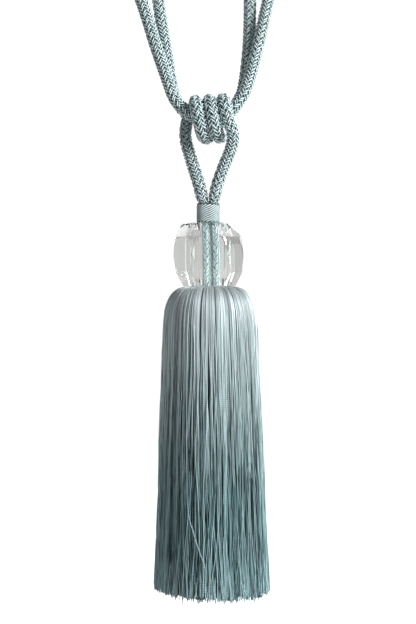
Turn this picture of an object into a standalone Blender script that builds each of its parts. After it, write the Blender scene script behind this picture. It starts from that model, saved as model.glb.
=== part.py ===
"""A curtain tieback tassel as it hangs: a braided embrace cord with a loop at each end, a tassel cord that
wraps round it three times, a wound collar, a faceted clear bead and a long fringe skirt.

The origin is on the line of the two hooks, midway between the loops, where the cord bears on them. +Z is up
and the front faces -Y. Lengths in the tables are millimetres, and everything built from them is metres.
"""

import math

import bmesh
import bpy
from mathutils import Vector

MM = 0.001
SHARP_FROM = math.radians(40)

# Levels below the hook line.
KNOT_LEVEL = -164.9
COLLAR_TOP = -224.1
COLLAR_BOTTOM = -238.0
BEAD_TOP = -238.3
BEAD_BOTTOM = -282.0
SKIRT_TOP = -282.3

# Braided cord, the same on both lengths.
CORD_DIAMETER = 8.5
CORD_RESOLUTION = 3

# The three wraps of the tassel cord, which turn about an axis that rises a little to the right.
WRAP_RADIUS_UP = 12.5
WRAP_RADIUS_DEEP = 13.8
WRAP_SQUARENESS = 0.09
WRAP_PITCH = 9.6
WRAP_FIRST_TOP = -8.6
WRAP_SLANT = 1.7
WRAP_SLANT_ANGLE = math.radians(53)
WRAP_STEP = math.radians(27)
WRAP_START = math.radians(-27)
WRAP_END = math.radians(720 + 81)
KNOT_RISE = 0.065

# The route of the embrace cord, from the hidden joint at the back of the knot round both loops to the joint
# again. Girth is the cord's thickness there as a share of its free diameter: the knot squeezes it.
#    across    deep   height  girth
EMBRACE_ROUTE = [
    (-0.3, 3.7, -163.4, 0.85),
    (-5.0, 3.7, -163.5, 0.85),
    (-9.4, 3.9, -162.9, 0.86),
    (-13.2, 4.2, -162.0, 0.9),
    (-17.0, 4.6, -158.8, 0.98),
    (-21.0, 4.7, -152.9, 1.0),
    (-23.6, 4.7, -147.6, 1.0),
    (-25.4, 4.6, -140.6, 1.0),
    (-29.6, 3.5, -115.8, 1.0),
    (-34.7, 1.7, -82.2, 1.0),
    (-38.4, 0.8, -48.0, 1.0),
    (-38.5, 0.5, -31.0, 1.0),
    (-38.0, 0.3, -14.7, 1.0),
    (-43.6, 0.1, -1.3, 1.0),
    (-57.0, 0.0, 4.25, 1.0),
    (-70.4, -0.2, -1.3, 1.0),
    (-76.0, -0.4, -14.7, 1.0),
    (-72.0, -0.7, -30.0, 1.0),
    (-63.2, -1.1, -47.0, 1.0),
    (-47.4, -1.9, -80.3, 1.0),
    (-36.6, -3.6, -113.9, 1.0),
    (-27.2, -4.7, -141.2, 1.0),
    (-24.2, -4.8, -149.4, 1.0),
    (-20.8, -4.7, -154.9, 1.0),
    (-17.0, -4.5, -158.4, 1.0),
    (-12.8, -4.2, -162.3, 0.93),
    (-8.6, -3.8, -165.1, 0.86),
    (-4.0, -3.7, -166.7, 0.85),
    (1.0, -3.7, -166.8, 0.85),
    (5.6, -3.7, -165.8, 0.85),
    (10.0, -3.8, -164.1, 0.87),
    (14.0, -4.1, -161.8, 0.92),
    (17.6, -4.4, -158.2, 1.0),
    (21.2, -4.6, -153.8, 1.0),
    (24.4, -4.8, -149.0, 1.0),
    (27.2, -4.8, -142.6, 1.0),
    (35.0, -3.5, -114.2, 1.0),
    (42.6, -1.8, -80.7, 1.0),
    (52.2, -1.0, -47.0, 1.0),
    (58.9, -0.6, -30.5, 1.0),
    (64.2, -0.3, -14.7, 1.0),
    (58.6, -0.1, -1.3, 1.0),
    (45.2, 0.0, 4.25, 1.0),
    (31.8, 0.2, -1.3, 1.0),
    (26.2, 0.4, -14.7, 1.0),
    (26.6, 0.6, -31.0, 1.0),
    (28.1, 0.9, -49.0, 1.0),
    (29.4, 1.7, -81.7, 1.0),
    (28.4, 3.5, -115.6, 1.0),
    (25.5, 4.6, -140.4, 1.0),
    (24.2, 4.7, -146.0, 1.0),
    (21.6, 4.8, -151.2, 1.0),
    (18.8, 4.7, -156.0, 0.99),
    (15.6, 4.4, -159.9, 0.92),
    (12.0, 4.0, -162.1, 0.87),
    (8.0, 3.8, -163.2, 0.85),
    (4.0, 3.7, -163.4, 0.85),
    (0.3, 3.7, -163.4, 0.85),
]

# The left leg of the tassel cord, up from the tassel's head to the back of the knot.
#    across    deep   height  girth
LEFT_LEG = [
    (-2.7, 0.0, -282.0, 0.97),
    (-2.7, 0.0, -268.0, 0.97),
    (-2.9, 0.0, -254.0, 0.97),
    (-3.2, 0.0, -244.4, 0.93),
    (-3.25, 0.0, -238.6, 0.76),
    (-3.25, 0.0, -231.0, 0.76),
    (-3.25, 0.0, -223.8, 0.76),
    (-4.3, 0.2, -219.2, 0.98),
    (-6.2, 0.7, -211.4, 1.0),
    (-9.9, 2.1, -199.2, 1.0),
    (-13.7, 4.2, -186.6, 1.0),
    (-15.5, 6.4, -179.6, 1.0),
    (-16.0, 8.8, -173.8, 1.0),
    (-15.5, 11.6, -168.2, 1.0),
    (-14.1, 13.3, -162.2, 1.0),
    (-11.9, 12.0, -156.8, 1.0),
]

# The right leg, down from the front of the third wrap.
#    across    deep   height  girth
RIGHT_LEG = [
    (14.4, -13.6, -168.8, 1.0),
    (16.3, -12.8, -173.2, 1.0),
    (17.4, -11.4, -178.0, 1.0),
    (17.0, -9.6, -183.2, 1.0),
    (15.3, -7.5, -188.8, 1.0),
    (10.9, -4.1, -199.2, 1.0),
    (6.5, -1.5, -211.4, 1.0),
    (4.7, -0.4, -219.2, 0.98),
    (3.65, 0.0, -223.8, 0.76),
    (3.65, 0.0, -231.0, 0.76),
    (3.65, 0.0, -238.6, 0.76),
    (5.1, 0.0, -244.4, 0.93),
    (5.6, 0.0, -254.0, 0.97),
    (5.9, 0.0, -268.0, 0.97),
    (5.9, 0.0, -282.0, 0.97),
]

# About how far apart the points on a cord are, where its route's own points aren't closer.
EMBRACE_STEP = 12.0
TASSEL_STEP = 8.0

# Collar: a tight winding of thread, oval because it holds two cords side by side.
COLLAR_CENTRE = 0.2
COLLAR_WIDTH = 15.7
COLLAR_DEPTH = 11.0
COLLAR_HOLE_WIDTH = 14.1
COLLAR_HOLE_DEPTH = 7.3
COLLAR_SQUARENESS = 2.6
COLLAR_SIDES = 40
COLLAR_HOLE_END_STEPS = 10

# Bead: six large faces round a girdle, with a row of smaller faces above and below them.
BEAD_FACES = 6
FLAT_WITHIN = math.radians(0.5)
BEAD_CENTRE = 0.4
BEAD_LEAN = 0.028
BEAD_BORE_CENTRE = 1.6
BEAD_TURN = math.radians(3)
BEAD_GIRDLE = 24.7
BEAD_RIM = 18.2
BEAD_FACE_HALF_WIDTH = 9.0
BEAD_FACE_HALF_HEIGHT = 12.2
BEAD_BORE = 21.6
BEAD_BORE_SIDES = 32
BEAD_BORE_REACH = 60

# Skirt: its radius at each depth below its top. Clump is how far its clumps of thread stand in and out there.
#    depth  radius  clump
SKIRT_PROFILE = [
    (0.0, 12.0, 0.0),
    (0.1, 19.0, 0.05),
    (1.1, 22.9, 0.1),
    (3.7, 26.4, 0.2),
    (6.6, 28.5, 0.3),
    (10.0, 30.2, 0.4),
    (14.9, 31.9, 0.45),
    (20.7, 32.9, 0.5),
    (28.7, 33.6, 0.55),
    (42.7, 34.1, 0.6),
    (59.7, 34.8, 0.7),
    (82.1, 35.8, 0.8),
    (104.5, 36.8, 0.9),
    (126.9, 37.5, 1.0),
    (149.3, 38.2, 1.1),
    (171.7, 39.2, 1.2),
    (194.1, 40.3, 1.3),
    (211.2, 41.3, 1.3),
]
SKIRT_SIDES = 84
SKIRT_CENTRE_TOP = 1.4
SKIRT_CENTRE_HEM = 2.8
HEM_UNEVEN = 1.6
HEM_UNEVEN_RATE = 2
HEM_HOLLOW_SHARE = 0.55
HEM_HOLLOW_RISE = 2.0

# The clumps follow a few waves round the skirt: how many, how strong, where each starts and how far each
# drifts sideways between the shoulder and the hem.
#     count  share  start  drift
CLUMPS = [
    (7, 0.5, 0.4, 0.5),
    (11, 0.8, 1.9, -0.4),
    (17, 0.7, 3.1, 0.9),
    (23, 0.4, 5.2, -0.7),
]


def mix(a, b, share):
    return [p + (q - p) * share for p, q in zip(a, b)]


def curve_point(rows, knots, t):
    """The point at t on the curve's stretch between the second and the third of four rows."""
    for pairs in (((0, 1), (1, 2), (2, 3)), ((0, 2), (1, 3)), ((1, 2),)):
        shares = [(t - knots[i]) / (knots[j] - knots[i]) for i, j in pairs]
        rows = [mix(a, b, share) for a, b, share in zip(rows, rows[1:], shares)]
    return rows[0]


def smooth_line(rows, step):
    """Points about a step apart on one smooth curve through the rows: a centripetal Catmull-Rom curve."""
    rows = [mix(rows[1], rows[0], 2), *rows, mix(rows[-2], rows[-1], 2)]
    found = []
    for four in zip(rows, rows[1:], rows[2:], rows[3:]):
        knots = [0.0]
        for a, b in zip(four, four[1:]):
            knots.append(knots[-1] + math.dist(a[:3], b[:3]) ** 0.5)
        pieces = max(1, round(math.dist(four[1][:3], four[2][:3]) / step))
        for k in range(pieces):
            found.append(curve_point(four, knots, knots[1] + (knots[2] - knots[1]) * k / pieces))
    found.append(rows[-2])
    return found


def wrap_point(angle):
    """A point on the wraps. Angle 0 is the top of the first wrap, and it grows down the front."""
    across = WRAP_FIRST_TOP + WRAP_PITCH * angle / math.tau
    across += WRAP_SLANT * (math.cos(WRAP_SLANT_ANGLE) - math.cos(angle - WRAP_SLANT_ANGLE))
    fuller = 1 + WRAP_SQUARENESS * (1 - math.cos(4 * angle)) / 2
    deep = -WRAP_RADIUS_DEEP * fuller * math.sin(angle)
    height = KNOT_LEVEL + KNOT_RISE * across + WRAP_RADIUS_UP * fuller * math.cos(angle)
    return (across, deep, height, 1.0)


def tassel_route():
    """The left leg, the wraps worked out step by step, and the right leg."""
    steps = round((WRAP_END - WRAP_START) / WRAP_STEP)
    wraps = [wrap_point(WRAP_START + (WRAP_END - WRAP_START) * k / steps) for k in range(steps + 1)]
    return LEFT_LEG + wraps + RIGHT_LEG


def material(name, colour, roughness, transmission=0.0):
    made = bpy.data.materials.new(name)
    made.use_nodes = True
    shader = made.node_tree.nodes["Principled BSDF"]
    shader.inputs["Base Color"].default_value = (*colour, 1)
    shader.inputs["Roughness"].default_value = roughness
    shader.inputs["Metallic"].default_value = 0
    shader.inputs["Transmission Weight"].default_value = transmission
    made.diffuse_color = (*colour, 1)
    return made


def add(name, data, collection, look):
    thing = bpy.data.objects.new(name, data)
    data.materials.append(look)
    collection.objects.link(thing)
    return thing


def cord(name, rows, collection, look):
    """A round tube with capped ends along the rows."""
    curve = bpy.data.curves.new(name, "CURVE")
    curve.dimensions = "3D"
    curve.bevel_depth = CORD_DIAMETER / 2 * MM
    curve.bevel_resolution = CORD_RESOLUTION
    curve.use_fill_caps = True
    line = curve.splines.new("POLY")
    line.points.add(len(rows) - 1)
    for point, (across, deep, height, girth) in zip(line.points, rows):
        point.co = (across * MM, deep * MM, height * MM, 1)
        point.radius = girth
    return add(name, curve, collection, look)


def flat_loop(curve, outline):
    line = curve.splines.new("POLY")
    line.points.add(len(outline) - 1)
    for point, (x, y) in zip(line.points, outline):
        point.co = (x * MM, y * MM, 0, 1)
    line.use_cyclic_u = True


def oval(width, depth, squareness, sides):
    """A superellipse: 2 is an ellipse, and more is nearer a rectangle with round corners."""
    found = []
    for k in range(sides):
        angle = math.tau * k / sides
        c, s = math.cos(angle), math.sin(angle)
        x = math.copysign(abs(c) ** (2 / squareness), c) * width / 2
        y = math.copysign(abs(s) ** (2 / squareness), s) * depth / 2
        found.append((x, y))
    return found


def slot(width, depth, steps):
    """A straight slot with round ends, each drawn in that many steps."""
    radius, reach = depth / 2, (width - depth) / 2
    found = []
    for side in (1, -1):
        for k in range(steps + 1):
            angle = math.pi * (k / steps - 0.5)
            found.append((side * (reach + radius * math.cos(angle)), side * radius * math.sin(angle)))
    return found


def collar(collection, look):
    curve = bpy.data.curves.new("collar", "CURVE")
    curve.dimensions = "2D"
    curve.fill_mode = "BOTH"
    curve.extrude = (COLLAR_TOP - COLLAR_BOTTOM) / 2 * MM
    flat_loop(curve, oval(COLLAR_WIDTH, COLLAR_DEPTH, COLLAR_SQUARENESS, COLLAR_SIDES))
    flat_loop(curve, slot(COLLAR_HOLE_WIDTH, COLLAR_HOLE_DEPTH, COLLAR_HOLE_END_STEPS))
    thing = add("collar", curve, collection, look)
    thing.location = (COLLAR_CENTRE * MM, 0, (COLLAR_TOP + COLLAR_BOTTOM) / 2 * MM)
    return thing


def bead_corners():
    """The bead's corners about its own centre. Each ring of them is named by its faces' middle directions."""
    half_height = (BEAD_TOP - BEAD_BOTTOM) / 2
    half_face = math.pi / BEAD_FACES
    face_distance = BEAD_GIRDLE * math.cos(half_face)
    corners = []
    for k in range(BEAD_FACES):
        middle = BEAD_TURN + math.tau * k / BEAD_FACES
        edge = middle + half_face
        corners.append((BEAD_GIRDLE * math.sin(edge), -BEAD_GIRDLE * math.cos(edge), 0))
        for up in (1, -1):
            rim = (BEAD_RIM * math.sin(edge), -BEAD_RIM * math.cos(edge), up * half_height)
            corners.append(rim)
            for side in (1, -1):
                along = side * BEAD_FACE_HALF_WIDTH
                x = face_distance * math.sin(middle) + along * math.cos(middle)
                y = -face_distance * math.cos(middle) + along * math.sin(middle)
                corners.append((x, y, up * BEAD_FACE_HALF_HEIGHT))
    return corners


def crystal_bead(collection, cutters, look):
    shape = bmesh.new()
    for x, y, z in bead_corners():
        shape.verts.new(Vector((x - BEAD_LEAN * z, y, z)) * MM)
    bmesh.ops.convex_hull(shape, input=shape.verts)
    bmesh.ops.dissolve_limit(shape, angle_limit=FLAT_WITHIN, verts=shape.verts, edges=shape.edges)
    mesh = bpy.data.meshes.new("crystal_bead")
    shape.to_mesh(mesh)
    shape.free()
    bead = add("crystal_bead", mesh, collection, look)
    middle = (BEAD_TOP + BEAD_BOTTOM) / 2
    bead.location = Vector((BEAD_CENTRE, 0, middle)) * MM

    bpy.ops.mesh.primitive_cylinder_add(
        vertices=BEAD_BORE_SIDES,
        radius=BEAD_BORE / 2 * MM,
        depth=BEAD_BORE_REACH * MM,
        location=Vector((BEAD_BORE_CENTRE, 0, middle)) * MM,
    )
    bore = bpy.context.object
    bore.name = "bead_bore_cutter"
    bore.hide_render = True
    bore.display_type = "WIRE"
    for home in list(bore.users_collection):
        home.objects.unlink(bore)
    cutters.objects.link(bore)
    cut = bead.modifiers.new("bore", "BOOLEAN")
    cut.operation = "DIFFERENCE"
    cut.object = bore
    return bead


def clump(angle, down):
    """How far the threads stand in or out here, from about -1 to 1. Down is 0 at the top and 1 at the hem."""
    whole = sum(share for _, share, _, _ in CLUMPS)
    waves = sum(
        share * math.cos(count * angle + start + drift * down)
        for count, share, start, drift in CLUMPS
    )
    return waves / whole


def hem_edges(shape, ring):
    return [e for e in shape.edges if e.verts[0] in ring and e.verts[1] in ring]


def extruded(shape, ring):
    """Extrudes the open edge through the ring, and gives its new points in the ring's order."""
    made = bmesh.ops.extrude_edge_only(shape, edges=hem_edges(shape, ring))["geom"]
    fresh = {v for v in made if isinstance(v, bmesh.types.BMVert)}
    below = {}
    for v in fresh:
        for e in v.link_edges:
            if e.other_vert(v) in ring:
                below[e.other_vert(v)] = v
    return [below[v] for v in ring]


def skirt(collection, look):
    """Rings down the skirt's profile, each extruded from the one above, closed over its head and its hem."""
    height = SKIRT_PROFILE[-1][0]
    shape = bmesh.new()
    ring = bmesh.ops.create_circle(shape, cap_ends=True, radius=1, segments=SKIRT_SIDES)["verts"]
    angles = [math.atan2(v.co.y, v.co.x) for v in ring]
    for row, (depth, radius, stand) in enumerate(SKIRT_PROFILE):
        if row:
            ring = extruded(shape, ring)
        down = depth / height
        centre = SKIRT_CENTRE_TOP + (SKIRT_CENTRE_HEM - SKIRT_CENTRE_TOP) * down
        for v, angle in zip(ring, angles):
            out = radius + stand * clump(angle, down)
            v.co = Vector((centre + out * math.cos(angle), out * math.sin(angle), SKIRT_TOP - depth)) * MM
    for v, angle in zip(ring, angles):
        v.co.z -= HEM_UNEVEN * clump(HEM_UNEVEN_RATE * angle, 0) * MM
    ring = extruded(shape, ring)
    middle = Vector((SKIRT_CENTRE_HEM, 0, SKIRT_TOP - height + HEM_HOLLOW_RISE)) * MM
    for v in ring:
        v.co = middle + Vector((v.co.x - middle.x, v.co.y, 0)) * HEM_HOLLOW_SHARE
    bmesh.ops.edgeloop_fill(shape, edges=hem_edges(shape, ring))
    bmesh.ops.recalc_face_normals(shape, faces=shape.faces)
    mesh = bpy.data.meshes.new("skirt")
    shape.to_mesh(mesh)
    shape.free()
    mesh.shade_smooth()
    mesh.set_sharp_from_angle(angle=SHARP_FROM)
    return add("skirt", mesh, collection, look)


def build():
    for thing in list(bpy.data.objects):
        bpy.data.objects.remove(thing)
    parts = bpy.data.collections.new("curtain_tieback_tassel")
    cutters = bpy.data.collections.new("cutters")
    for collection in (parts, cutters):
        bpy.context.scene.collection.children.link(collection)

    braid = material("braided_cord", (0.42, 0.52, 0.53), 0.55)
    loop_braid = material("tassel_cord", (0.44, 0.54, 0.55), 0.55)
    binding = material("collar_thread", (0.36, 0.44, 0.48), 0.5)
    crystal = material("clear_crystal", (0.95, 0.97, 0.96), 0.02, transmission=1.0)
    thread = material("skirt_thread", (0.34, 0.45, 0.46), 0.45)

    cord("embrace_cord", smooth_line(EMBRACE_ROUTE, EMBRACE_STEP), parts, braid)
    cord("tassel_cord", smooth_line(tassel_route(), TASSEL_STEP), parts, loop_braid)
    collar(parts, binding)
    crystal_bead(parts, cutters, crystal)
    skirt(parts, thread)


build()
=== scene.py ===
import math

import bmesh
import bpy
import numpy as np
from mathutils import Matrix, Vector


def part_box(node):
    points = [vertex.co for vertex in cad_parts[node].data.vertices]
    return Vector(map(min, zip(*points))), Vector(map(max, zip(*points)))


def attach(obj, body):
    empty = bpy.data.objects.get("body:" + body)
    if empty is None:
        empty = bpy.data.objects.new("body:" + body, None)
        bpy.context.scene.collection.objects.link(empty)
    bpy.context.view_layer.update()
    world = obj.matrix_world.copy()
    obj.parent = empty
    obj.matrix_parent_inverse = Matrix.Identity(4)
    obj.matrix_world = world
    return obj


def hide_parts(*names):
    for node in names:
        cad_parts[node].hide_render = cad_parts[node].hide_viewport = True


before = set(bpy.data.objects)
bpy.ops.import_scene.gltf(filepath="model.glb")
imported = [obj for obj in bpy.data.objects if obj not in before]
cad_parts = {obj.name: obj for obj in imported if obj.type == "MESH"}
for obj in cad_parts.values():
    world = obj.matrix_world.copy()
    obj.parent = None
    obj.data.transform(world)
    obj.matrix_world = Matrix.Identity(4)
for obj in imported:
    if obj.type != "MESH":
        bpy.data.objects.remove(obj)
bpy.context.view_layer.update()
collarLow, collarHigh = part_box("collar")
beadLow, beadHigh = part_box("crystal_bead")
skirtLow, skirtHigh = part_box("skirt")
print("frame loaded")


def linkObject(name, data):
    made = bpy.data.objects.new(name, data)
    bpy.context.scene.collection.objects.link(made)
    return made


def meshFrom(shape, name, look):
    mesh = bpy.data.meshes.new(name)
    shape.to_mesh(mesh)
    shape.free()
    mesh.materials.append(look)
    return mesh


def mix(a, b, share):
    return a + (b - a) * share


def lengthAlong(points):
    # how far along the line each of its points lies
    return np.concatenate([[0], np.cumsum(np.linalg.norm(np.diff(points, axis=0), axis=1))])


def evenSteps(line, step):
    # the same line with its points one step apart; columns after the third ride along
    along = lengthAlong(line[:, :3])
    wanted = np.linspace(0, along[-1], max(2, round(along[-1] / step) + 1))
    return np.stack([np.interp(wanted, along, column) for column in line.T], axis=1), wanted


splineSteps = 24  # points between two rows of a route, before they are spaced evenly


def smoothLine(rows, step):
    # a centripetal Catmull-Rom curve through the rows, the same that the cords' solids follow
    rows = [np.array(row) for row in rows]
    rows = [2 * rows[0] - rows[1], *rows, 2 * rows[-1] - rows[-2]]
    found = []
    for a, b, c, d in zip(rows, rows[1:], rows[2:], rows[3:]):
        knot1 = np.linalg.norm((b - a)[:3]) ** 0.5
        knot2 = knot1 + np.linalg.norm((c - b)[:3]) ** 0.5
        knot3 = knot2 + np.linalg.norm((d - c)[:3]) ** 0.5
        for share in np.linspace(0, 1, splineSteps, endpoint=False):
            at = mix(knot1, knot2, share)
            ab = mix(a, b, at / knot1)
            bc = mix(b, c, share)
            cd = mix(c, d, (at - knot2) / (knot3 - knot2))
            found.append(mix(mix(ab, bc, at / knot2), mix(bc, cd, (at - knot1) / (knot3 - knot1)), share))
    found.append(rows[-2])
    return evenSteps(np.array(found), step)


def cordFrames(points):
    # a side and an up direction at every point, carried along so that the cord doesn't twist
    tangents = np.gradient(points, axis=0)
    tangents /= np.linalg.norm(tangents, axis=1)[:, None]
    sides = np.zeros_like(points)
    side = np.cross(tangents[0], (0.0, 1.0, 0.0))
    for i, tangent in enumerate(tangents):
        side = side - tangent * side.dot(tangent)
        side /= np.linalg.norm(side)
        sides[i] = side
    return sides, np.cross(tangents, sides)


def tubeNodes():
    # sweeps a ring along every thread, as wide as the thread's radius at each point
    group = bpy.data.node_groups.new("tubeAlongThread", "GeometryNodeTree")
    group.interface.new_socket("Geometry", in_out="INPUT", socket_type="NodeSocketGeometry")
    group.interface.new_socket("Sides", in_out="INPUT", socket_type="NodeSocketInt")
    group.interface.new_socket("Geometry", in_out="OUTPUT", socket_type="NodeSocketGeometry")
    given = group.nodes.new("NodeGroupInput")
    ring = group.nodes.new("GeometryNodeCurvePrimitiveCircle")
    ring.inputs["Radius"].default_value = 1
    sweep = group.nodes.new("GeometryNodeCurveToMesh")
    sweep.inputs["Fill Caps"].default_value = True
    thickness = group.nodes.new("GeometryNodeInputRadius")
    out = group.nodes.new("NodeGroupOutput")
    group.links.new(given.outputs["Sides"], ring.inputs["Resolution"])
    group.links.new(given.outputs["Geometry"], sweep.inputs["Curve"])
    group.links.new(ring.outputs["Curve"], sweep.inputs["Profile Curve"])
    group.links.new(thickness.outputs["Radius"], sweep.inputs["Scale"])
    group.links.new(sweep.outputs["Mesh"], out.inputs["Geometry"])
    return group


tubeGroup = tubeNodes()


def threadTubes(name, lines, sides, look, cornerLight=None):
    # one mesh of closed tubes: each line is its points, their radii and their shades, 0 dark to 1 light;
    # cornerLight gives each corner of the mesh a share of painted light, multiplied into its shade as
    # painted light and shade
    curve = bpy.data.curves.new(name, "CURVE")
    curve.dimensions = "3D"
    for points, radii, _ in lines:
        spline = curve.splines.new("POLY")
        spline.points.add(len(points) - 1)
        spline.points.foreach_set("co", np.column_stack([points, np.ones(len(points))]).ravel())
        spline.points.foreach_set("radius", radii)
    guide = linkObject(name + "Guide", curve)
    sweep = guide.modifiers.new("tube", "NODES")
    sweep.node_group = tubeGroup
    sweep[tubeGroup.interface.items_tree["Sides"].identifier] = sides
    bpy.context.view_layer.update()
    mesh = bpy.data.meshes.new_from_object(guide.evaluated_get(bpy.context.evaluated_depsgraph_get()))
    mesh.name = name
    bpy.data.objects.remove(guide)
    shades = np.repeat(np.concatenate([shade for _, _, shade in lines]), sides)
    if cornerLight:
        corners = np.empty(len(mesh.vertices) * 3, np.float32)
        mesh.vertices.foreach_get("co", corners)
        shades = shades * cornerLight(corners.reshape(-1, 3))
    mesh.attributes.new("shade", "FLOAT", "POINT").data.foreach_set("value", shades.astype(np.float32))
    mesh.shade_smooth()
    mesh.materials.clear()
    mesh.materials.append(look)
    return linkObject(name, mesh)


def newMaterial(name):
    made = bpy.data.materials.new(name)
    made.use_nodes = True
    return made, made.node_tree, made.node_tree.nodes["Principled BSDF"]


def setInputs(node, values):
    for socket, value in values.items():
        node.inputs[socket].default_value = value
    return node


def mathNode(tree, operation, *given):
    node = tree.nodes.new("ShaderNodeMath")
    node.operation = operation
    for socket, value in zip(node.inputs, given):
        if isinstance(value, (int, float)):
            socket.default_value = value
        else:
            tree.links.new(value, socket)
    return node.outputs[0]


def mapRange(tree, value, start, end, low=0, high=1):
    # low up to the start, high from the end on, and even between them
    limits = {"From Min": start, "From Max": end, "To Min": low, "To Max": high}
    node = setInputs(tree.nodes.new("ShaderNodeMapRange"), limits)
    tree.links.new(value, node.inputs["Value"])
    return node.outputs["Result"]


def colourRamp(tree, value, stops):
    # each stop is its place and its colour; the first stands at 0 and the last at 1
    ramp = tree.nodes.new("ShaderNodeValToRGB")
    first, *between, last = stops
    ramp.color_ramp.elements[0].color = (*first[1], 1)
    ramp.color_ramp.elements[1].color = (*last[1], 1)
    for place, colour in between:
        ramp.color_ramp.elements.new(place).color = (*colour, 1)
    tree.links.new(value, ramp.inputs["Fac"])
    return ramp.outputs["Color"]


def threadShade(tree):
    shade = tree.nodes.new("ShaderNodeAttribute")
    shade.attribute_name = "shade"
    return shade.outputs["Fac"]


fibreRelief = {"Strength": 0.25, "Distance": 0.0002}
fibreDetail = 2


def fibreBump(tree, shader, place, scale):
    # the fine fibres that stand up out of every thread
    fibre = setInputs(tree.nodes.new("ShaderNodeTexNoise"), {"Scale": scale, "Detail": fibreDetail})
    bump = setInputs(tree.nodes.new("ShaderNodeBump"), fibreRelief)
    tree.links.new(place, fibre.inputs["Vector"])
    tree.links.new(fibre.outputs["Fac"], bump.inputs["Height"])
    tree.links.new(bump.outputs["Normal"], shader.inputs["Normal"])


# The camera comes first, then the cords.
cameraPlace = {"distance": 0.957, "height": -0.300, "viewHeight": 0.4368, "sensor": 24.0}


def addCamera():
    lens = bpy.data.cameras.new("camera")
    lens.sensor_fit = "VERTICAL"
    lens.sensor_height = cameraPlace["sensor"]
    lens.lens = cameraPlace["sensor"] * cameraPlace["distance"] / cameraPlace["viewHeight"]
    camera = linkObject("camera", lens)
    camera.location = (0, -cameraPlace["distance"], cameraPlace["height"])
    camera.rotation_euler = (math.radians(90), 0, 0)
    bpy.context.scene.camera = camera


addCamera()
print("camera placed")


# Braid: 5 carriers each way, two threads to a carrier, each over one and under one.
braidYarn = {
    "cordRadius": 0.00425,
    "carriers": 5,
    "stitch": 0.0052,  # along the cord, for a thread to go once over and once under
    "threadRadius": 0.00048,
    "proud": 0.0005,  # how far the threads on top stand out of the cord's radius
    "lift": 0.0006,  # half the way between a thread on top and one under
    "crispness": 0.7,  # how suddenly a thread comes up and goes under
    "apart": 0.2,  # between the two threads of a carrier, as a share of a stitch
    "wander": 0.045,
    "wanderPitch": 0.7,
    "step": 0.00125,
    "sides": 6,
    "coreRadius": 0.0034,
    # the core's low shade is painted shade for the gaps between the threads
    "coreShade": 0.34,
    "shadeRandom": 0.1,
    "shadeMiddle": 1.04,
    # painted shade under the crossing threads and on each thread's sides, and a painted highlight on its
    # crest
    "underAt": 0.00325,  # distance from the cord's middle where a thread has only underShade
    "overAt": 0.0042,  # and where it has its full light
    "underShade": 0.46,
    "sideShade": 0.5,
    "crestPower": 1.2,
    # painted shade on the cords inside the bead, and a painted shadow just under the collar
    "beadShade": 0.85,
    "beadFade": (-0.002, 0.002, -0.0027, 0.0013),  # two heights from the bead's bottom, two from its top
    "collarShadow": 0.35,
    "collarFade": (-0.0048, -0.003, -0.0005, 0.0005),  # heights from the collar's bottom
    "pathEvery": 4,
    "colours": (
        (0, (0.022, 0.045, 0.048)),
        (0.3, (0.125, 0.205, 0.213)),
        (0.72, (0.36, 0.48, 0.49)),
        (1, (0.86, 0.94, 0.95)),
    ),
    "fibreScale": 2600,
    "finish": {"Roughness": 0.42, "Specular IOR Level": 0.5, "Sheen Weight": 0.15, "Sheen Roughness": 0.4},
}


def braidLines(path, along, rng):
    look = braidYarn
    points, girth = path[:, :3], path[:, 3]
    sides, ups = cordFrames(points)
    lines = [(points, girth * look["coreRadius"], np.full(len(points), look["coreShade"]))]
    for hand in (1, -1):
        for carrier in range(look["carriers"]):
            carrierShade = look["shadeMiddle"] + rng.uniform(-1, 1) * look["shadeRandom"]
            for partner in (-1, 1):
                wave = rng.uniform(0, math.tau)
                column = carrier - hand * along / look["stitch"] + partner * look["apart"]
                wander = np.sin(along / look["stitch"] * look["wanderPitch"] + wave)
                column = column + look["wander"] * wander
                over = hand * np.cos(math.tau * column)
                over = np.tanh(look["crispness"] * over) / math.tanh(look["crispness"])
                out = look["cordRadius"] + look["proud"] - look["threadRadius"] - look["lift"] * (1 - over)
                angle = math.tau * column / look["carriers"]
                reach = (girth * out)[:, None]
                turned = np.cos(angle)[:, None] * sides + np.sin(angle)[:, None] * ups
                shade = np.full(len(points), carrierShade)
                lines.append((points + reach * turned, girth * look["threadRadius"], shade))
    return lines


def braidLight(corners, lines, path):
    # painted light and shade: a painted highlight along each thread's crest, painted shade where it dives
    # under the others, on the core between them, inside the bead and, as a painted shadow, just under the
    # collar
    look = braidYarn
    middles = np.repeat(np.concatenate([points for points, _, _ in lines]), look["sides"], axis=0)
    owners = np.tile(np.repeat(np.arange(len(path)), look["sides"]), len(lines))
    girth = path[owners, 3]
    outward = middles - path[owners, :3]
    away = np.linalg.norm(outward, axis=1)
    crest = np.sum((corners - middles) * outward, axis=1) / np.maximum(away, look["threadRadius"])
    crest = np.clip(crest / (look["threadRadius"] * girth), 0, 1) ** look["crestPower"]
    raised = np.clip((away / girth - look["underAt"]) / (look["overAt"] - look["underAt"]), 0, 1)
    light = mix(look["underShade"], 1, raised) * mix(look["sideShade"], 1, crest)
    # painted shade on the cords inside the bead, and a painted shadow just under the collar
    beadEnds = np.array(look["beadFade"]) + (beadLow.z, beadLow.z, beadHigh.z, beadHigh.z)
    inBead = np.interp(corners[:, 2], beadEnds, (0, 1, 1, 0))
    underCollar = np.interp(corners[:, 2], np.array(look["collarFade"]) + collarLow.z, (0, 1, 1, 0))
    return light * mix(1, look["beadShade"], inBead) * mix(1, look["collarShadow"], underCollar)


def yarnMaterial(name, stops):
    # the base colour follows the shade attribute: the yarn's own tone, with painted light and shade in it
    made, tree, shader = newMaterial(name)
    place = tree.nodes.new("ShaderNodeTexCoord").outputs["Object"]
    tree.links.new(colourRamp(tree, threadShade(tree), stops), shader.inputs["Base Color"])
    fibreBump(tree, shader, place, braidYarn["fibreScale"])
    setInputs(shader, braidYarn["finish"])
    return made


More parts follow.
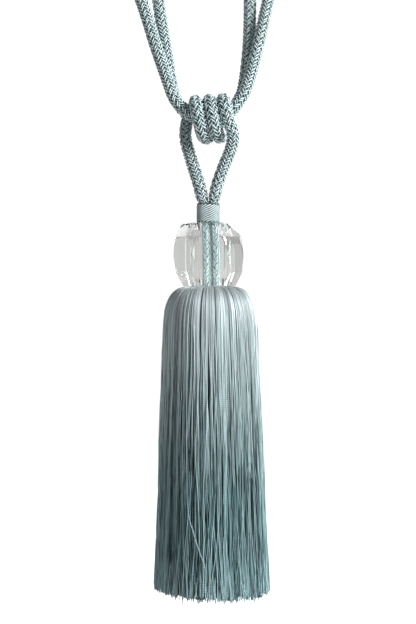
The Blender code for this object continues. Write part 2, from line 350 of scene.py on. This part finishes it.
# The embrace cord's route: across, deep, up, and the cord's thickness there as a share of its own.
embraceRoute = [
    (-0.0003, 0.0037, -0.1634, 0.85),
    (-0.005, 0.0037, -0.1635, 0.85),
    (-0.0094, 0.0039, -0.1629, 0.86),
    (-0.0132, 0.0042, -0.162, 0.9),
    (-0.017, 0.0046, -0.1588, 0.98),
    (-0.021, 0.0047, -0.1529, 1.0),
    (-0.0236, 0.0047, -0.1476, 1.0),
    (-0.0254, 0.0046, -0.1406, 1.0),
    (-0.0296, 0.0035, -0.1158, 1.0),
    (-0.0347, 0.0017, -0.0822, 1.0),
    (-0.0384, 0.0008, -0.048, 1.0),
    (-0.0385, 0.0005, -0.031, 1.0),
    (-0.038, 0.0003, -0.0147, 1.0),
    (-0.0436, 0.0001, -0.0013, 1.0),
    (-0.057, 0.0, 0.00425, 1.0),
    (-0.0704, -0.0002, -0.0013, 1.0),
    (-0.076, -0.0004, -0.0147, 1.0),
    (-0.072, -0.0007, -0.03, 1.0),
    (-0.0632, -0.0011, -0.047, 1.0),
    (-0.0474, -0.0019, -0.0803, 1.0),
    (-0.0366, -0.0036, -0.1139, 1.0),
    (-0.0272, -0.0047, -0.1412, 1.0),
    (-0.0242, -0.0048, -0.1494, 1.0),
    (-0.0208, -0.0047, -0.1549, 1.0),
    (-0.017, -0.0045, -0.1584, 1.0),
    (-0.0128, -0.0042, -0.1623, 0.93),
    (-0.0086, -0.0038, -0.1651, 0.86),
    (-0.004, -0.0037, -0.1667, 0.85),
    (0.001, -0.0037, -0.1668, 0.85),
    (0.0056, -0.0037, -0.1658, 0.85),
    (0.01, -0.0038, -0.1641, 0.87),
    (0.014, -0.0041, -0.1618, 0.92),
    (0.0176, -0.0044, -0.1582, 1.0),
    (0.0212, -0.0046, -0.1538, 1.0),
    (0.0244, -0.0048, -0.149, 1.0),
    (0.0272, -0.0048, -0.1426, 1.0),
    (0.035, -0.0035, -0.1142, 1.0),
    (0.0426, -0.0018, -0.0807, 1.0),
    (0.0522, -0.001, -0.047, 1.0),
    (0.0589, -0.0006, -0.0305, 1.0),
    (0.0642, -0.0003, -0.0147, 1.0),
    (0.0586, -0.0001, -0.0013, 1.0),
    (0.0452, 0.0, 0.00425, 1.0),
    (0.0318, 0.0002, -0.0013, 1.0),
    (0.0262, 0.0004, -0.0147, 1.0),
    (0.0266, 0.0006, -0.031, 1.0),
    (0.0281, 0.0009, -0.049, 1.0),
    (0.0294, 0.0017, -0.0817, 1.0),
    (0.0284, 0.0035, -0.1156, 1.0),
    (0.0255, 0.0046, -0.1404, 1.0),
    (0.0242, 0.0047, -0.146, 1.0),
    (0.0216, 0.0048, -0.1512, 1.0),
    (0.0188, 0.0047, -0.156, 0.99),
    (0.0156, 0.0044, -0.1599, 0.92),
    (0.012, 0.004, -0.1621, 0.87),
    (0.008, 0.0038, -0.1632, 0.85),
    (0.004, 0.0037, -0.1634, 0.85),
    (0.0003, 0.0037, -0.1634, 0.85),
]

# The tassel cord's legs: up from the skirt to the back of the knot, and down from its front.
leftLeg = [
    (-0.0027, 0.0, -0.282, 0.97),
    (-0.0027, 0.0, -0.268, 0.97),
    (-0.0029, 0.0, -0.254, 0.97),
    (-0.0032, 0.0, -0.2444, 0.93),
    (-0.00325, 0.0, -0.2386, 0.76),
    (-0.00325, 0.0, -0.231, 0.76),
    (-0.00325, 0.0, -0.2238, 0.76),
    (-0.0043, 0.0002, -0.2192, 0.98),
    (-0.0062, 0.0007, -0.2114, 1.0),
    (-0.0099, 0.0021, -0.1992, 1.0),
    (-0.0137, 0.0042, -0.1866, 1.0),
    (-0.0155, 0.0064, -0.1796, 1.0),
    (-0.016, 0.0088, -0.1738, 1.0),
    (-0.0155, 0.0116, -0.1682, 1.0),
    (-0.0141, 0.0133, -0.1622, 1.0),
    (-0.0119, 0.012, -0.1568, 1.0),
]
rightLeg = [
    (0.0144, -0.0136, -0.1688, 1.0),
    (0.0163, -0.0128, -0.1732, 1.0),
    (0.0174, -0.0114, -0.178, 1.0),
    (0.017, -0.0096, -0.1832, 1.0),
    (0.0153, -0.0075, -0.1888, 1.0),
    (0.0109, -0.0041, -0.1992, 1.0),
    (0.0065, -0.0015, -0.2114, 1.0),
    (0.0047, -0.0004, -0.2192, 0.98),
    (0.00365, 0.0, -0.2238, 0.76),
    (0.00365, 0.0, -0.231, 0.76),
    (0.00365, 0.0, -0.2386, 0.76),
    (0.0051, 0.0, -0.2444, 0.93),
    (0.0056, 0.0, -0.254, 0.97),
    (0.0059, 0.0, -0.268, 0.97),
    (0.0059, 0.0, -0.282, 0.97),
]

# the wraps between the legs: a spiral round the embrace cord, a little square in section
knotWraps = {
    "level": -0.1649,
    "radiusUp": 0.0125,
    "radiusDeep": 0.0138,
    "flats": 4,
    "squareness": 0.09,
    "pitch": 0.0096,
    "firstTop": -0.0086,
    "slant": 0.0017,
    "slantAngle": math.radians(53),
    "rise": 0.065,
    "fullness": 1.05,  # the cord's thickness in the wraps, as a share of its own
    "fullerBelow": 0.07,
    "start": math.radians(-27),
    "end": math.radians(801),
    "steps": 31,
}


def wrapPoint(angle):
    wraps = knotWraps
    across = wraps["firstTop"] + wraps["pitch"] * angle / math.tau
    across += wraps["slant"] * (math.cos(wraps["slantAngle"]) - math.cos(angle - wraps["slantAngle"]))
    fuller = 1 + wraps["squareness"] * (1 - math.cos(wraps["flats"] * angle)) / 2
    deep = -wraps["radiusDeep"] * fuller * math.sin(angle)
    up = wraps["level"] + wraps["rise"] * across + wraps["radiusUp"] * fuller * math.cos(angle)
    girth = wraps["fullness"] + wraps["fullerBelow"] * (1 - math.cos(angle)) / 2
    return (across, deep, up, girth)


def braidedCord(name, node, route, look, seed):
    path, along = smoothLine(route, braidYarn["step"])
    lines = braidLines(path, along, np.random.default_rng(seed))
    piece = threadTubes(
        name, lines, braidYarn["sides"], look, lambda corners: braidLight(corners, lines, path),
    )
    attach(piece, "root")
    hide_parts(node)
    print(name, "is", round(along[-1], 4), "m long")


braidLook = yarnMaterial("braidYarn", braidYarn["colours"])
tasselRoute = leftLeg + [
    wrapPoint(mix(knotWraps["start"], knotWraps["end"], k / knotWraps["steps"]))
    for k in range(knotWraps["steps"] + 1)
] + rightLeg
braidedCord(
    "embraceCord", "embrace_cord", embraceRoute,
    look=braidLook, seed=3,
)
braidedCord(
    "tasselCord", "tassel_cord", tasselRoute,
    look=braidLook, seed=5,
)
print("cords braided")


# Collar: ribs of thread laid slantwise round the binding.
collarRibs = {
    "seed": 7,
    "count": 21,
    "radius": 0.0006,
    "sink": 0.00025,
    "slope": 1.25,
    "points": 18,
    "sides": 6,
    "squareness": 2.6,
    "curl": 0.0009,  # the stretch at each end that tucks in
    "endTuck": 1.6,  # how far it tucks in, in radii
    "endInset": 0.6,  # how far it stays short of the collar's ends, in radii
    # painted shade in the creases between the ribs, and painted light on their crests
    "darkAt": 0.00002,  # depth under the binding's surface where a crease is darkest
    "lightAt": 0.00034,  # height over it where a crest is lightest
    "darkPower": 1.5,
    "shadeMiddle": 0.94,
    "shadeRandom": 0.06,
    "colours": (
        (0, (0.04, 0.065, 0.07)),
        (0.3, (0.26, 0.35, 0.365)),
        (0.72, (0.68, 0.78, 0.8)),
        (1, (0.94, 0.98, 0.98)),
    ),
}


def collarPoint(angle, inset):
    # a point on the oval binding, seen from above, angle 0 at the right
    wide = (collarHigh.x - collarLow.x) / 2 - inset
    deep = (collarHigh.y - collarLow.y) / 2 - inset
    c, s = np.cos(angle), np.sin(angle)
    power = 2 / collarRibs["squareness"]
    x = (collarLow.x + collarHigh.x) / 2 + np.sign(c) * np.abs(c) ** power * wide
    y = (collarLow.y + collarHigh.y) / 2 + np.sign(s) * np.abs(s) ** power * deep
    return x, y


def collarLines(rng):
    look = collarRibs
    height = collarHigh.z - collarLow.z
    around = math.pi * (collarHigh.x - collarLow.x + collarHigh.y - collarLow.y) / 2
    inset = look["radius"] * look["endInset"]
    lines = []
    for rib in range(look["count"]):
        climb = np.linspace(0, 1, look["points"])
        turn = math.tau * (rib / look["count"] + look["slope"] * height * climb / around)
        ends = np.clip(1 - np.minimum(climb, 1 - climb) * height / look["curl"], 0, 1)
        x, y = collarPoint(turn, look["sink"] + look["radius"] * look["endTuck"] * ends ** 2)
        z = collarLow.z + inset + climb * (height - 2 * inset)
        shade = np.full(look["points"], look["shadeMiddle"] + rng.uniform(-1, 1) * look["shadeRandom"])
        lines.append((np.stack([x, y, z], axis=1), np.full(look["points"], look["radius"]), shade))
    return lines


def collarLight(corners):
    # painted light and shade: the crests of the ribs are painted lighter than the creases between them,
    # which get painted shade
    power = collarRibs["squareness"]
    wide = (collarHigh.x - collarLow.x) / 2
    deep = (collarHigh.y - collarLow.y) / 2
    x = np.abs(corners[:, 0] - (collarLow.x + collarHigh.x) / 2) / wide
    y = np.abs(corners[:, 1] - (collarLow.y + collarHigh.y) / 2) / deep
    proud = ((x ** power + y ** power) ** (1 / power) - 1) * deep
    light = (proud + collarRibs["darkAt"]) / (collarRibs["darkAt"] + collarRibs["lightAt"])
    return np.clip(light, 0, 1) ** collarRibs["darkPower"]


collarLook = yarnMaterial("collarThread", collarRibs["colours"])
collarDraws = np.random.default_rng(collarRibs["seed"])
collarPiece = threadTubes(
    "collarRibs", collarLines(collarDraws), collarRibs["sides"], collarLook, collarLight,
)
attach(collarPiece, "root")
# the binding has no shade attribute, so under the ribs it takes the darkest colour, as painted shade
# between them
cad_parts["collar"].data.materials.clear()
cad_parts["collar"].data.materials.append(collarLook)
print("collar wound")


# Bead: the solid's own facets in clear glass, with their edges just broken.
beadCut = {
    "edge": 0.0003,
    "edgeSegments": 2,
    "sharpFrom": math.radians(9),  # edges sharper than this are broken, but not the bore's own
    "middle": 0.0016,
    "boreRadius": 0.0111,
    "mergeWithin": 0.00001,
    "flatWithin": math.radians(0.5),
    "smoothBelow": math.radians(14),
    "glass": {
        "Base Color": (0.97, 0.98, 0.967, 1), "Roughness": 0.015, "IOR": 1.5, "Transmission Weight": 1,
    },
}


def besideBore(edge):
    away = [math.hypot(end.co.x - beadCut["middle"], end.co.y) for end in edge.verts]
    return max(away) < beadCut["boreRadius"]


def cutBead():
    glass, _, shader = newMaterial("clearCrystal")
    setInputs(shader, beadCut["glass"])
    shape = bmesh.new()
    shape.from_mesh(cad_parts["crystal_bead"].data)
    bmesh.ops.remove_doubles(shape, verts=shape.verts, dist=beadCut["mergeWithin"])
    bmesh.ops.dissolve_limit(
        shape, angle_limit=beadCut["flatWithin"], verts=shape.verts, edges=shape.edges,
    )
    broken = []
    for edge in shape.edges:
        closed = len(edge.link_faces) == 2
        if closed and not besideBore(edge) and edge.calc_face_angle() > beadCut["sharpFrom"]:
            broken.append(edge)
    bmesh.ops.bevel(
        shape, geom=broken, affect="EDGES", offset=beadCut["edge"], segments=beadCut["edgeSegments"],
        profile=0.5, material=-1,
    )
    mesh = meshFrom(shape, "crystalBead", glass)
    mesh.shade_smooth()
    mesh.set_sharp_from_angle(angle=beadCut["smoothBelow"])
    return linkObject("crystalBead", mesh)


bead = cutBead()
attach(bead, "root")
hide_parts("crystal_bead")
bead.visible_shadow = False  # so that the cords inside are lit as through real glass
print("bead cut")


# Skirt: fine twisted threads, fanned over the shoulder and clumped lower down.
skirtYarn = {
    "seed": 12,
    "layers": 15,
    "threadsPerLayer": 200,
    "layerDepth": 0.0004,
    "layerSpread": 0.9,  # how far into the next layer a thread may lie
    "threadRadius": 0.00027,
    "thinnest": 0.85,
    "thickest": 1.15,
    "shoulderLength": 0.034,
    "shoulderPoints": 9,
    "fallPoints": 16,
    "sides": 4,
    "centreTop": 0.0014,  # the skirt hangs a little to the right
    "centreHem": 0.0028,
    "jitter": 0.5,
    "fanPower": 0.7,  # how soon the threads gather into bundles and clumps
    "bundles": 41,
    "bundleJitter": 0.35,
    "bundlePull": 0.05,
    "bundleSway": 0.012,
    "bundleValley": 0.00035,
    "valleyPower": 3,
    "valleyGrowth": 0.8,
    "clumps": 110,
    "clumpSets": 5,
    "clumpJitter": 0.42,
    "clumpPull": 0.17,
    "pullLeast": 0.5,
    "pullMost": 1.2,
    "clumpSway": 0.014,
    "clumpSink": 0.0005,
    "sinkRun": 0.02,  # the layers part over this length from the top
    "sinkLeast": 0.25,
    "wander": 0.0011,
    "wanderWaves": (5.1, 11.3),
    "wanderSecond": 0.6,
    "wanderTop": 0.15,
    "wanderRadius": 0.034,
    "dive": 0.0009,  # how deep a thread slips under its neighbours
    "diveWaves": (13, 23),
    "drift": 0.0021,
    "driftRadius": 0.037,
    "swayPower": 1.6,
    "strayShare": 0.15,
    "strayDrift": 0.0055,
    "straySink": 0.15,
    "strayLight": 0.27,
    "hemLow": math.radians(-50),  # where the hem hangs lowest
    "hemTilt": 0.0022,
    "hemLift": 0.9,
    "hemRandom": 0.0016,
    "hemCurl": 0.0024,
    "curlPower": 7,
    "curlRadius": 0.04,
    "shadeTop": 0.68,
    "shadeMost": 0.85,
    "shadeRandom": 0.36,
    # painted shade for the threads that lie deeper
    "shadeDepth": 430,  # shade lost for each metre under the surface
    "shadeSmooth": 0.35,
    "smoothFall": 2.2,
    "tipShare": 0.55,  # how many threads have a pale cut tip
    "tipLight": 0.6,
    "tipLength": 0.022,
}
skirtPieces = ("skirtOuterThreads", "skirtMiddleThreads", "skirtInnerThreads")

# the finer threads that lie loose over the others and dive in and out of them, painted paler than the rest
# as fine painted highlights
looseYarn = {
    **skirtYarn,
    "seed": 21,
    "layers": 1,
    "threadsPerLayer": 150,
    "threadRadius": 0.00016,
    "fallPoints": 26,
    "bundlePull": 0,
    "bundleValley": 0,
    "clumps": 70,
    "clumpPull": 0.3,
    "clumpSets": 1,
    "wander": 0.0015,
    "dive": 0.0011,
    "drift": 0.0034,
    "strayShare": 0.3,
    "strayLight": 0.1,
    "hemCurl": 0.003,
    "shadeTop": 1.1,
    "shadeMost": 1.25,
    "shadeRandom": 0.15,
    "shadeDepth": 300,
    "tipLight": 0.4,
    "hemRandom": 0.0014,
}

# the skirt's half width at each depth below its top, as the solid has it
skirtProfile = [
    (0.0003, 0.008), (0.0001, 0.019), (0.0011, 0.0229), (0.0037, 0.0264), (0.0066, 0.0285),
    (0.01, 0.0302), (0.0149, 0.0319), (0.0207, 0.0329), (0.0287, 0.0336), (0.0427, 0.0341),
    (0.0597, 0.0348), (0.0821, 0.0358), (0.1045, 0.0368), (0.1269, 0.0375), (0.1493, 0.0382),
    (0.1717, 0.0392), (0.1941, 0.0403), (0.2112, 0.0413),
]
profileSteps = 240
profileSoftening = 9  # steps over which its corners are rounded, an odd number


def softened(values, weights):
    # each value averaged with its neighbours
    reach = len(weights) // 2
    return np.convolve(np.pad(values, reach, mode="edge"), weights, mode="valid")


def skirtOutline():
    # depth and radius along the outline, and the way it runs there;
    # straight in from it is down by runRadius and inwards by runDepth
    outline = np.array(skirtProfile)
    along = lengthAlong(outline)
    fine = np.linspace(0, along[-1], profileSteps)
    weights = np.hanning(profileSoftening) / np.hanning(profileSoftening).sum()
    depth = softened(np.interp(fine, along, outline[:, 0]), weights)
    radius = softened(np.interp(fine, along, outline[:, 1]), weights)
    runDepth, runRadius = np.gradient(depth), np.gradient(radius)
    size = np.hypot(runDepth, runRadius)
    return fine, depth, radius, runDepth / size, runRadius / size


def nearestCentre(angles, centres):
    # how far each angle is from its nearest centre, and which centre that is
    apart = (angles[:, None] - centres[None, :] + math.pi) % math.tau - math.pi
    chosen = np.abs(apart).argmin(axis=1)
    return -apart[np.arange(len(angles)), chosen], chosen


def scatteredRing(count, rng, jitter):
    return (np.arange(count) + rng.uniform(-jitter, jitter, count)) * math.tau / count


def skirtThreads(look):
    rng = np.random.default_rng(look["seed"])
    fine, depth, radius, runDepth, runRadius = skirtOutline()
    shoulder = look["shoulderLength"]
    points = np.concatenate([
        np.linspace(0, shoulder, look["shoulderPoints"], endpoint=False),
        np.linspace(shoulder, fine[-1], look["fallPoints"]),
    ])
    count = look["layers"] * look["threadsPerLayer"]
    layer = np.repeat(np.arange(look["layers"]), look["threadsPerLayer"])
    start = np.concatenate([
        scatteredRing(look["threadsPerLayer"], rng, look["jitter"]) + rng.uniform(0, math.tau)
        for _ in range(look["layers"])
    ])
    sink = (layer + rng.uniform(0, look["layerSpread"], count)) * look["layerDepth"]
    hem = rng.normal(0, look["hemRandom"], count)
    hem = hem + look["hemTilt"] * (np.cos(start - look["hemLow"]) - look["hemLift"])
    at = points[None, :] * (1 + hem / fine[-1])[:, None]
    fallen = np.clip((at - shoulder) / (fine[-1] - shoulder), 0, 1)  # 0 on the shoulder, 1 at the hem
    gathered = fallen ** look["fanPower"]

    # the wide bundles, with valleys between them that run in from the shoulder
    toBundle, bundle = nearestCentre(start, scatteredRing(look["bundles"], rng, look["bundleJitter"]))
    bundleSway = rng.normal(0, look["bundleSway"], look["bundles"])[bundle]
    valley = look["bundleValley"] * np.abs(toBundle * look["bundles"] / math.pi) ** look["valleyPower"]

    # the small clumps inside them, another set for each group of layers
    toClump, clumpSway, clumpSink = np.zeros((3, count))
    for group in range(look["clumpSets"]):
        inGroup = layer % look["clumpSets"] == group
        centres = scatteredRing(look["clumps"], rng, look["clumpJitter"])
        toClump[inGroup], chosen = nearestCentre(start[inGroup], centres)
        clumpSway[inGroup] = rng.normal(0, look["clumpSway"], look["clumps"])[chosen]
        clumpSink[inGroup] = np.abs(rng.normal(0, look["clumpSink"], look["clumps"]))[chosen]

    # each thread wanders to both sides; strays drift further and lie near the surface
    slow, quick = look["wanderWaves"]
    slowStart, quickStart = rng.uniform(0, math.tau, (2, count, 1))
    wander = np.sin(slow * fallen + slowStart) - np.sin(slowStart)
    wander = look["wander"] * (wander + look["wanderSecond"] * np.sin(quick * fallen + quickStart))
    pull = look["clumpPull"] * rng.uniform(look["pullLeast"], look["pullMost"], count)
    stray = rng.random(count) < look["strayShare"]
    drift = rng.normal(0, 1, count) * np.where(stray, look["strayDrift"], look["drift"])
    sink = np.where(stray, sink * look["straySink"], sink) + clumpSink + valley

    # it also dives under its neighbours here and there, where it also gets painted shade
    slow, quick = look["diveWaves"]
    slowStart, quickStart = rng.uniform(0, math.tau, (2, count, 1))
    dive = np.maximum(np.sin(slow * fallen + slowStart) + np.sin(quick * fallen + quickStart), 0)
    dive = look["dive"] * np.sqrt(fallen) * dive
    sinkAt = sink[:, None] * np.clip(at / look["sinkRun"], look["sinkLeast"], 1)
    sinkAt = sinkAt + valley[:, None] * gathered * look["valleyGrowth"] + dive

    curl = rng.normal(0, look["hemCurl"], count) / look["curlRadius"]
    angle = start[:, None] + gathered * (toBundle * look["bundlePull"] + toClump * pull)[:, None]
    sway = bundleSway + clumpSway + drift / look["driftRadius"]
    angle = angle + fallen ** look["swayPower"] * sway[:, None]
    angle = angle + fallen ** look["curlPower"] * curl[:, None]
    angle = angle + wander * (look["wanderTop"] + fallen) / look["wanderRadius"]
    depthAt = np.interp(at, fine, depth) + np.maximum(at - fine[-1], 0)
    depthAt = depthAt + sinkAt * np.interp(at, fine, runRadius)
    radiusAt = np.interp(at, fine, radius) - sinkAt * np.interp(at, fine, runDepth) - look["threadRadius"]
    across = mix(look["centreTop"], look["centreHem"], fallen) + radiusAt * np.cos(angle)
    places = np.stack([across, radiusAt * np.sin(angle), skirtHigh.z - depthAt], axis=2)

    # painted shade: threads are darker the deeper they lie and where they dive, less so on the smooth
    # shoulder; many end in a pale tip
    shades = look["shadeTop"] + rng.normal(0, look["shadeRandom"], count) + stray * look["strayLight"]
    paintedDepthShade = sink[:, None] * mix(look["shadeSmooth"], 1, np.clip(fallen * look["smoothFall"], 0, 1))
    paintedDepthShade = look["shadeDepth"] * (paintedDepthShade + dive)
    paleTip = (rng.random(count) < look["tipShare"]) * look["tipLight"]
    toHem = np.clip(1 - (at[:, -1:] - at) / look["tipLength"], 0, 1)
    shades = np.clip(shades[:, None] - paintedDepthShade, 0, look["shadeMost"]) + paleTip[:, None] * toHem
    radii = look["threadRadius"] * rng.uniform(look["thinnest"], look["thickest"], count)
    lines = [(places[i], np.full(len(points), radii[i]), shades[i]) for i in range(count)]
    return lines, layer


# one thread that lies over the others at the front and leaves them to the right near the hem
crossingThread = {
    "depths": (0.0177, 0.0577, 0.0977, 0.1377, 0.1497, 0.1577, 0.1644, 0.1767, 0.1907),
    "angles": (-117, -117.5, -117, -116, -115, -112.6, -109.5, -103.5, -95.4),
    "points": 40,
    "softening": 5,
    "proud": 0.0004,
    "radius": 0.000243,
    "paleFrom": 0.1427,
    "paleTo": 0.1627,
    "shade": 0.55,
    "paleShade": 1.25,
}


def paleStray():
    look = crossingThread
    _, depth, radius, _, _ = skirtOutline()
    depths = np.array(look["depths"])
    steps = np.linspace(0, len(depths) - 1, look["points"])
    at = np.interp(steps, np.arange(len(depths)), depths)
    turn = np.interp(at, depths, np.radians(look["angles"]))
    turn = softened(turn, np.full(look["softening"], 1 / look["softening"]))
    out = np.interp(at, depth, radius) + look["proud"]
    centre = mix(skirtYarn["centreTop"], skirtYarn["centreHem"], at / at[-1])
    places = np.stack([centre + out * np.cos(turn), out * np.sin(turn), skirtHigh.z - at], axis=1)
    shades = np.interp(at, (look["paleFrom"], look["paleTo"]), (look["shade"], look["paleShade"]))
    return places, np.full(len(places), look["radius"]), shades


threadFinish = {
    # painted sheen: the paler colours over the shoulder
    "paintedSheenColours": ((0, (0.05, 0.085, 0.09)), (0.72, (0.72, 0.84, 0.86)), (1, (0.9, 0.96, 0.97))),
    "lowColours": ((0, (0.008, 0.022, 0.024)), (0.72, (0.18, 0.345, 0.365)), (1, (0.58, 0.79, 0.82))),
    "fadeFrom": 0.0077,  # depth below the skirt's top where the low colours begin
    "fadeTo": 0.1477,  # and where they are full
    # a painted shadow close under the bead
    "paintedShadowLeft": 0.5,  # the share of light left close under the bead
    "paintedShadowFrom": 0.0012,
    "paintedShadowTo": 0.0102,
    # painted light and shade of the twisted plies
    "plyLength": 0.0013,
    "plyStep": 45,  # how far a thread's shade moves its plies along
    "plyShade": 0.36,
    "plyMiddle": 0.45,
    "fibreScale": 1500,
    "finish": {"Roughness": 0.3, "Specular IOR Level": 0.7},
}


def threadMaterial():
    look = threadFinish
    made, tree, shader = newMaterial("skirtThread")
    shade = threadShade(tree)
    place = tree.nodes.new("ShaderNodeTexCoord").outputs["Object"]
    axes = tree.nodes.new("ShaderNodeSeparateXYZ")
    tree.links.new(place, axes.inputs["Vector"])
    height = axes.outputs["Z"]

    # the two plies of each thread show as beads of painted light and shade along it, out of step from one
    # thread to the next
    turn = mathNode(tree, "MULTIPLY", height, math.tau / look["plyLength"])
    offset = mathNode(tree, "MULTIPLY", shade, look["plyStep"])
    ply = mathNode(tree, "SINE", mathNode(tree, "ADD", turn, offset))
    ply = mathNode(tree, "MULTIPLY_ADD", ply, look["plyShade"], 1 - look["plyMiddle"] * look["plyShade"])
    beaded = mathNode(tree, "MULTIPLY", shade, ply)

    # a painted sheen makes it paler over the shoulder than at the hem, and a painted shadow darkens it
    # close under the bead
    blend = tree.nodes.new("ShaderNodeMix")
    blend.data_type = "RGBA"
    shadowed = tree.nodes.new("ShaderNodeVectorMath")
    shadowed.operation = "SCALE"
    fall = mapRange(tree, height, skirtHigh.z - look["fadeFrom"], skirtHigh.z - look["fadeTo"])
    paintedShadow = mapRange(
        tree, height, skirtHigh.z - look["paintedShadowTo"], skirtHigh.z - look["paintedShadowFrom"], 1, look["paintedShadowLeft"],
    )
    tree.links.new(fall, blend.inputs["Factor"])
    tree.links.new(colourRamp(tree, beaded, look["paintedSheenColours"]), blend.inputs["A"])
    tree.links.new(colourRamp(tree, beaded, look["lowColours"]), blend.inputs["B"])
    tree.links.new(blend.outputs["Result"], shadowed.inputs["Vector"])
    tree.links.new(paintedShadow, shadowed.inputs["Scale"])
    tree.links.new(shadowed.outputs["Vector"], shader.inputs["Base Color"])
    fibreBump(tree, shader, place, look["fibreScale"])
    setInputs(shader, look["finish"])
    return made


# the packed yarn inside, which shows only in the gaps; without a shade attribute it takes the darkest
# thread colour, as painted shade there
packedYarn = {
    "inset": 0.0055,
    "top": 0.004,
    "overHem": 0.012,
    "firstStep": 6,
    "everyStep": 9,
    "sides": 72,
    "mergeWithin": 0.00001,
}


def packedBody(threadLook):
    look = packedYarn
    _, depth, radius, runDepth, runRadius = skirtOutline()
    rows = [(0.0, -look["top"])]
    for i in range(look["firstStep"], profileSteps, look["everyStep"]):
        rows.append((radius[i] - look["inset"] * runDepth[i], -depth[i] - look["inset"] * runRadius[i]))
    hem = rows[-1][1] + look["overHem"]
    rows = [row for row in rows if row[1] > hem] + [(rows[-1][0], hem), (0.0, hem)]
    shape = bmesh.new()
    corners = [shape.verts.new((out, 0, skirtHigh.z + rise)) for out, rise in rows]
    edges = [shape.edges.new(pair) for pair in zip(corners, corners[1:])]
    bmesh.ops.spin(
        shape, geom=corners + edges, cent=(0, 0, 0), axis=(0, 0, 1), angle=math.tau,
        steps=look["sides"], use_merge=True,
    )
    bmesh.ops.remove_doubles(shape, verts=shape.verts, dist=look["mergeWithin"])
    bmesh.ops.recalc_face_normals(shape, faces=shape.faces)
    middle = mix(skirtYarn["centreTop"], skirtYarn["centreHem"], 0.5)
    bmesh.ops.translate(shape, verts=shape.verts, vec=(middle, 0, 0))
    mesh = meshFrom(shape, "skirtBody", threadLook)
    mesh.shade_smooth()
    return linkObject("skirtBody", mesh)


def addSkirt():
    threadLook = threadMaterial()
    lines, layer = skirtThreads(skirtYarn)
    perPiece = skirtYarn["layers"] // len(skirtPieces)
    for k, name in enumerate(skirtPieces):
        chosen = [line for line, at in zip(lines, layer) if at // perPiece == k]
        piece = threadTubes(name, chosen, skirtYarn["sides"], threadLook)
        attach(piece, "root")
        if k == 0:
            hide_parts("skirt")
    loose, _ = skirtThreads(looseYarn)
    piece = threadTubes("skirtLooseThreads", loose + [paleStray()], looseYarn["sides"], threadLook)
    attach(piece, "root")
    body = packedBody(threadLook)
    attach(body, "root")


addSkirt()
print("skirt threaded")


# Studio: a pale floor, a bright air and three soft lights.
studio = {
    "floorDrop": 0.2,
    "floorRadius": 9.0,
    "floorSides": 64,
    "floorFinish": {"Base Color": (0.85, 0.85, 0.85, 1), "Roughness": 0.9, "Emission Color": (1, 1, 1, 1)},
    "floorGlow": 0.85,
    "floorThroughGlass": 0.17,
    "airSeen": 1.05,
    "airLight": 0.2,
    "cards": ((0, 0.62), (0.3, 0.5), (0.42, 0.98), (0.56, 1.05), (0.7, 0.56), (1, 0.72)),  # from the left
    "cardTint": (0.985, 1.0, 0.975),
    "lights": {  # power, size and place
        "keyLight": (46.0, 0.45, (1.32, -0.8, 0.45)),
        "fillLight": (1.2, 0.9, (-1.1, -0.9, 0.1)),
        "backLight": (8.0, 0.7, (0.4, 1.3, 0.6)),
    },
    "aim": (0, 0, -0.3),
}


def addLight(name, power, size, place):
    lamp = bpy.data.lights.new(name, "AREA")
    lamp.energy = power
    lamp.shape = "SQUARE"
    lamp.size = size
    made = linkObject(name, lamp)
    made.location = place
    made.rotation_euler = (Vector(studio["aim"]) - Vector(place)).to_track_quat("-Z", "Y").to_euler()


def bentRays(tree, rays):
    # 1 for what is seen through the bead, however often the glass has turned the ray
    throughGlass = mathNode(tree, "GREATER_THAN", rays.outputs["Transmission Depth"], 0.5)
    unscattered = mathNode(tree, "SUBTRACT", 1, rays.outputs["Is Diffuse Ray"])
    return mathNode(tree, "MULTIPLY", throughGlass, unscattered)


def airThroughGlass(tree):
    # the room that the bead bends into view: a white back, and darker cards at both sides
    way = tree.nodes.new("ShaderNodeTexCoord")
    axes = tree.nodes.new("ShaderNodeSeparateXYZ")
    tree.links.new(way.outputs["Generated"], axes.inputs["Vector"])
    across = mathNode(tree, "MULTIPLY_ADD", axes.outputs["X"], 0.5, 0.5)  # 0 at the left, 1 at the right
    stops = [(place, [grey * part for part in studio["cardTint"]]) for place, grey in studio["cards"]]
    return colourRamp(tree, across, stops)


def addFloor():
    made, tree, shader = newMaterial("paleFloor")
    setInputs(shader, studio["floorFinish"])
    rays = tree.nodes.new("ShaderNodeLightPath")
    seen = mapRange(tree, rays.outputs["Is Camera Ray"], 0, 1, 0, studio["floorGlow"])
    bent = mathNode(tree, "MULTIPLY", bentRays(tree, rays), studio["floorThroughGlass"])
    tree.links.new(mathNode(tree, "ADD", seen, bent), shader.inputs["Emission Strength"])
    shape = bmesh.new()
    bmesh.ops.create_circle(
        shape, cap_ends=True, radius=studio["floorRadius"], segments=studio["floorSides"],
    )
    bmesh.ops.translate(shape, verts=shape.verts, vec=(0, 0, skirtLow.z - studio["floorDrop"]))
    linkObject("floor", meshFrom(shape, "floor", made))


def addAir():
    world = bpy.data.worlds.new("studioAir")
    world.use_nodes = True
    bpy.context.scene.world = world
    tree = world.node_tree
    rays = tree.nodes.new("ShaderNodeLightPath")
    air = setInputs(tree.nodes["Background"], {"Color": (1, 1, 1, 1)})
    seen = mapRange(tree, rays.outputs["Is Camera Ray"], 0, 1, studio["airLight"], studio["airSeen"])
    tree.links.new(seen, air.inputs["Strength"])
    bent = tree.nodes.new("ShaderNodeBackground")
    tree.links.new(airThroughGlass(tree), bent.inputs["Color"])
    either = tree.nodes.new("ShaderNodeMixShader")
    tree.links.new(bentRays(tree, rays), either.inputs["Fac"])
    tree.links.new(air.outputs["Background"], either.inputs[1])
    tree.links.new(bent.outputs["Background"], either.inputs[2])
    tree.links.new(either.outputs["Shader"], tree.nodes["World Output"].inputs["Surface"])


addFloor()
addAir()
for lightName, (power, size, place) in studio["lights"].items():
    addLight(lightName, power, size, place)
bpy.context.scene.view_settings.view_transform = "Standard"
print("studio lit")
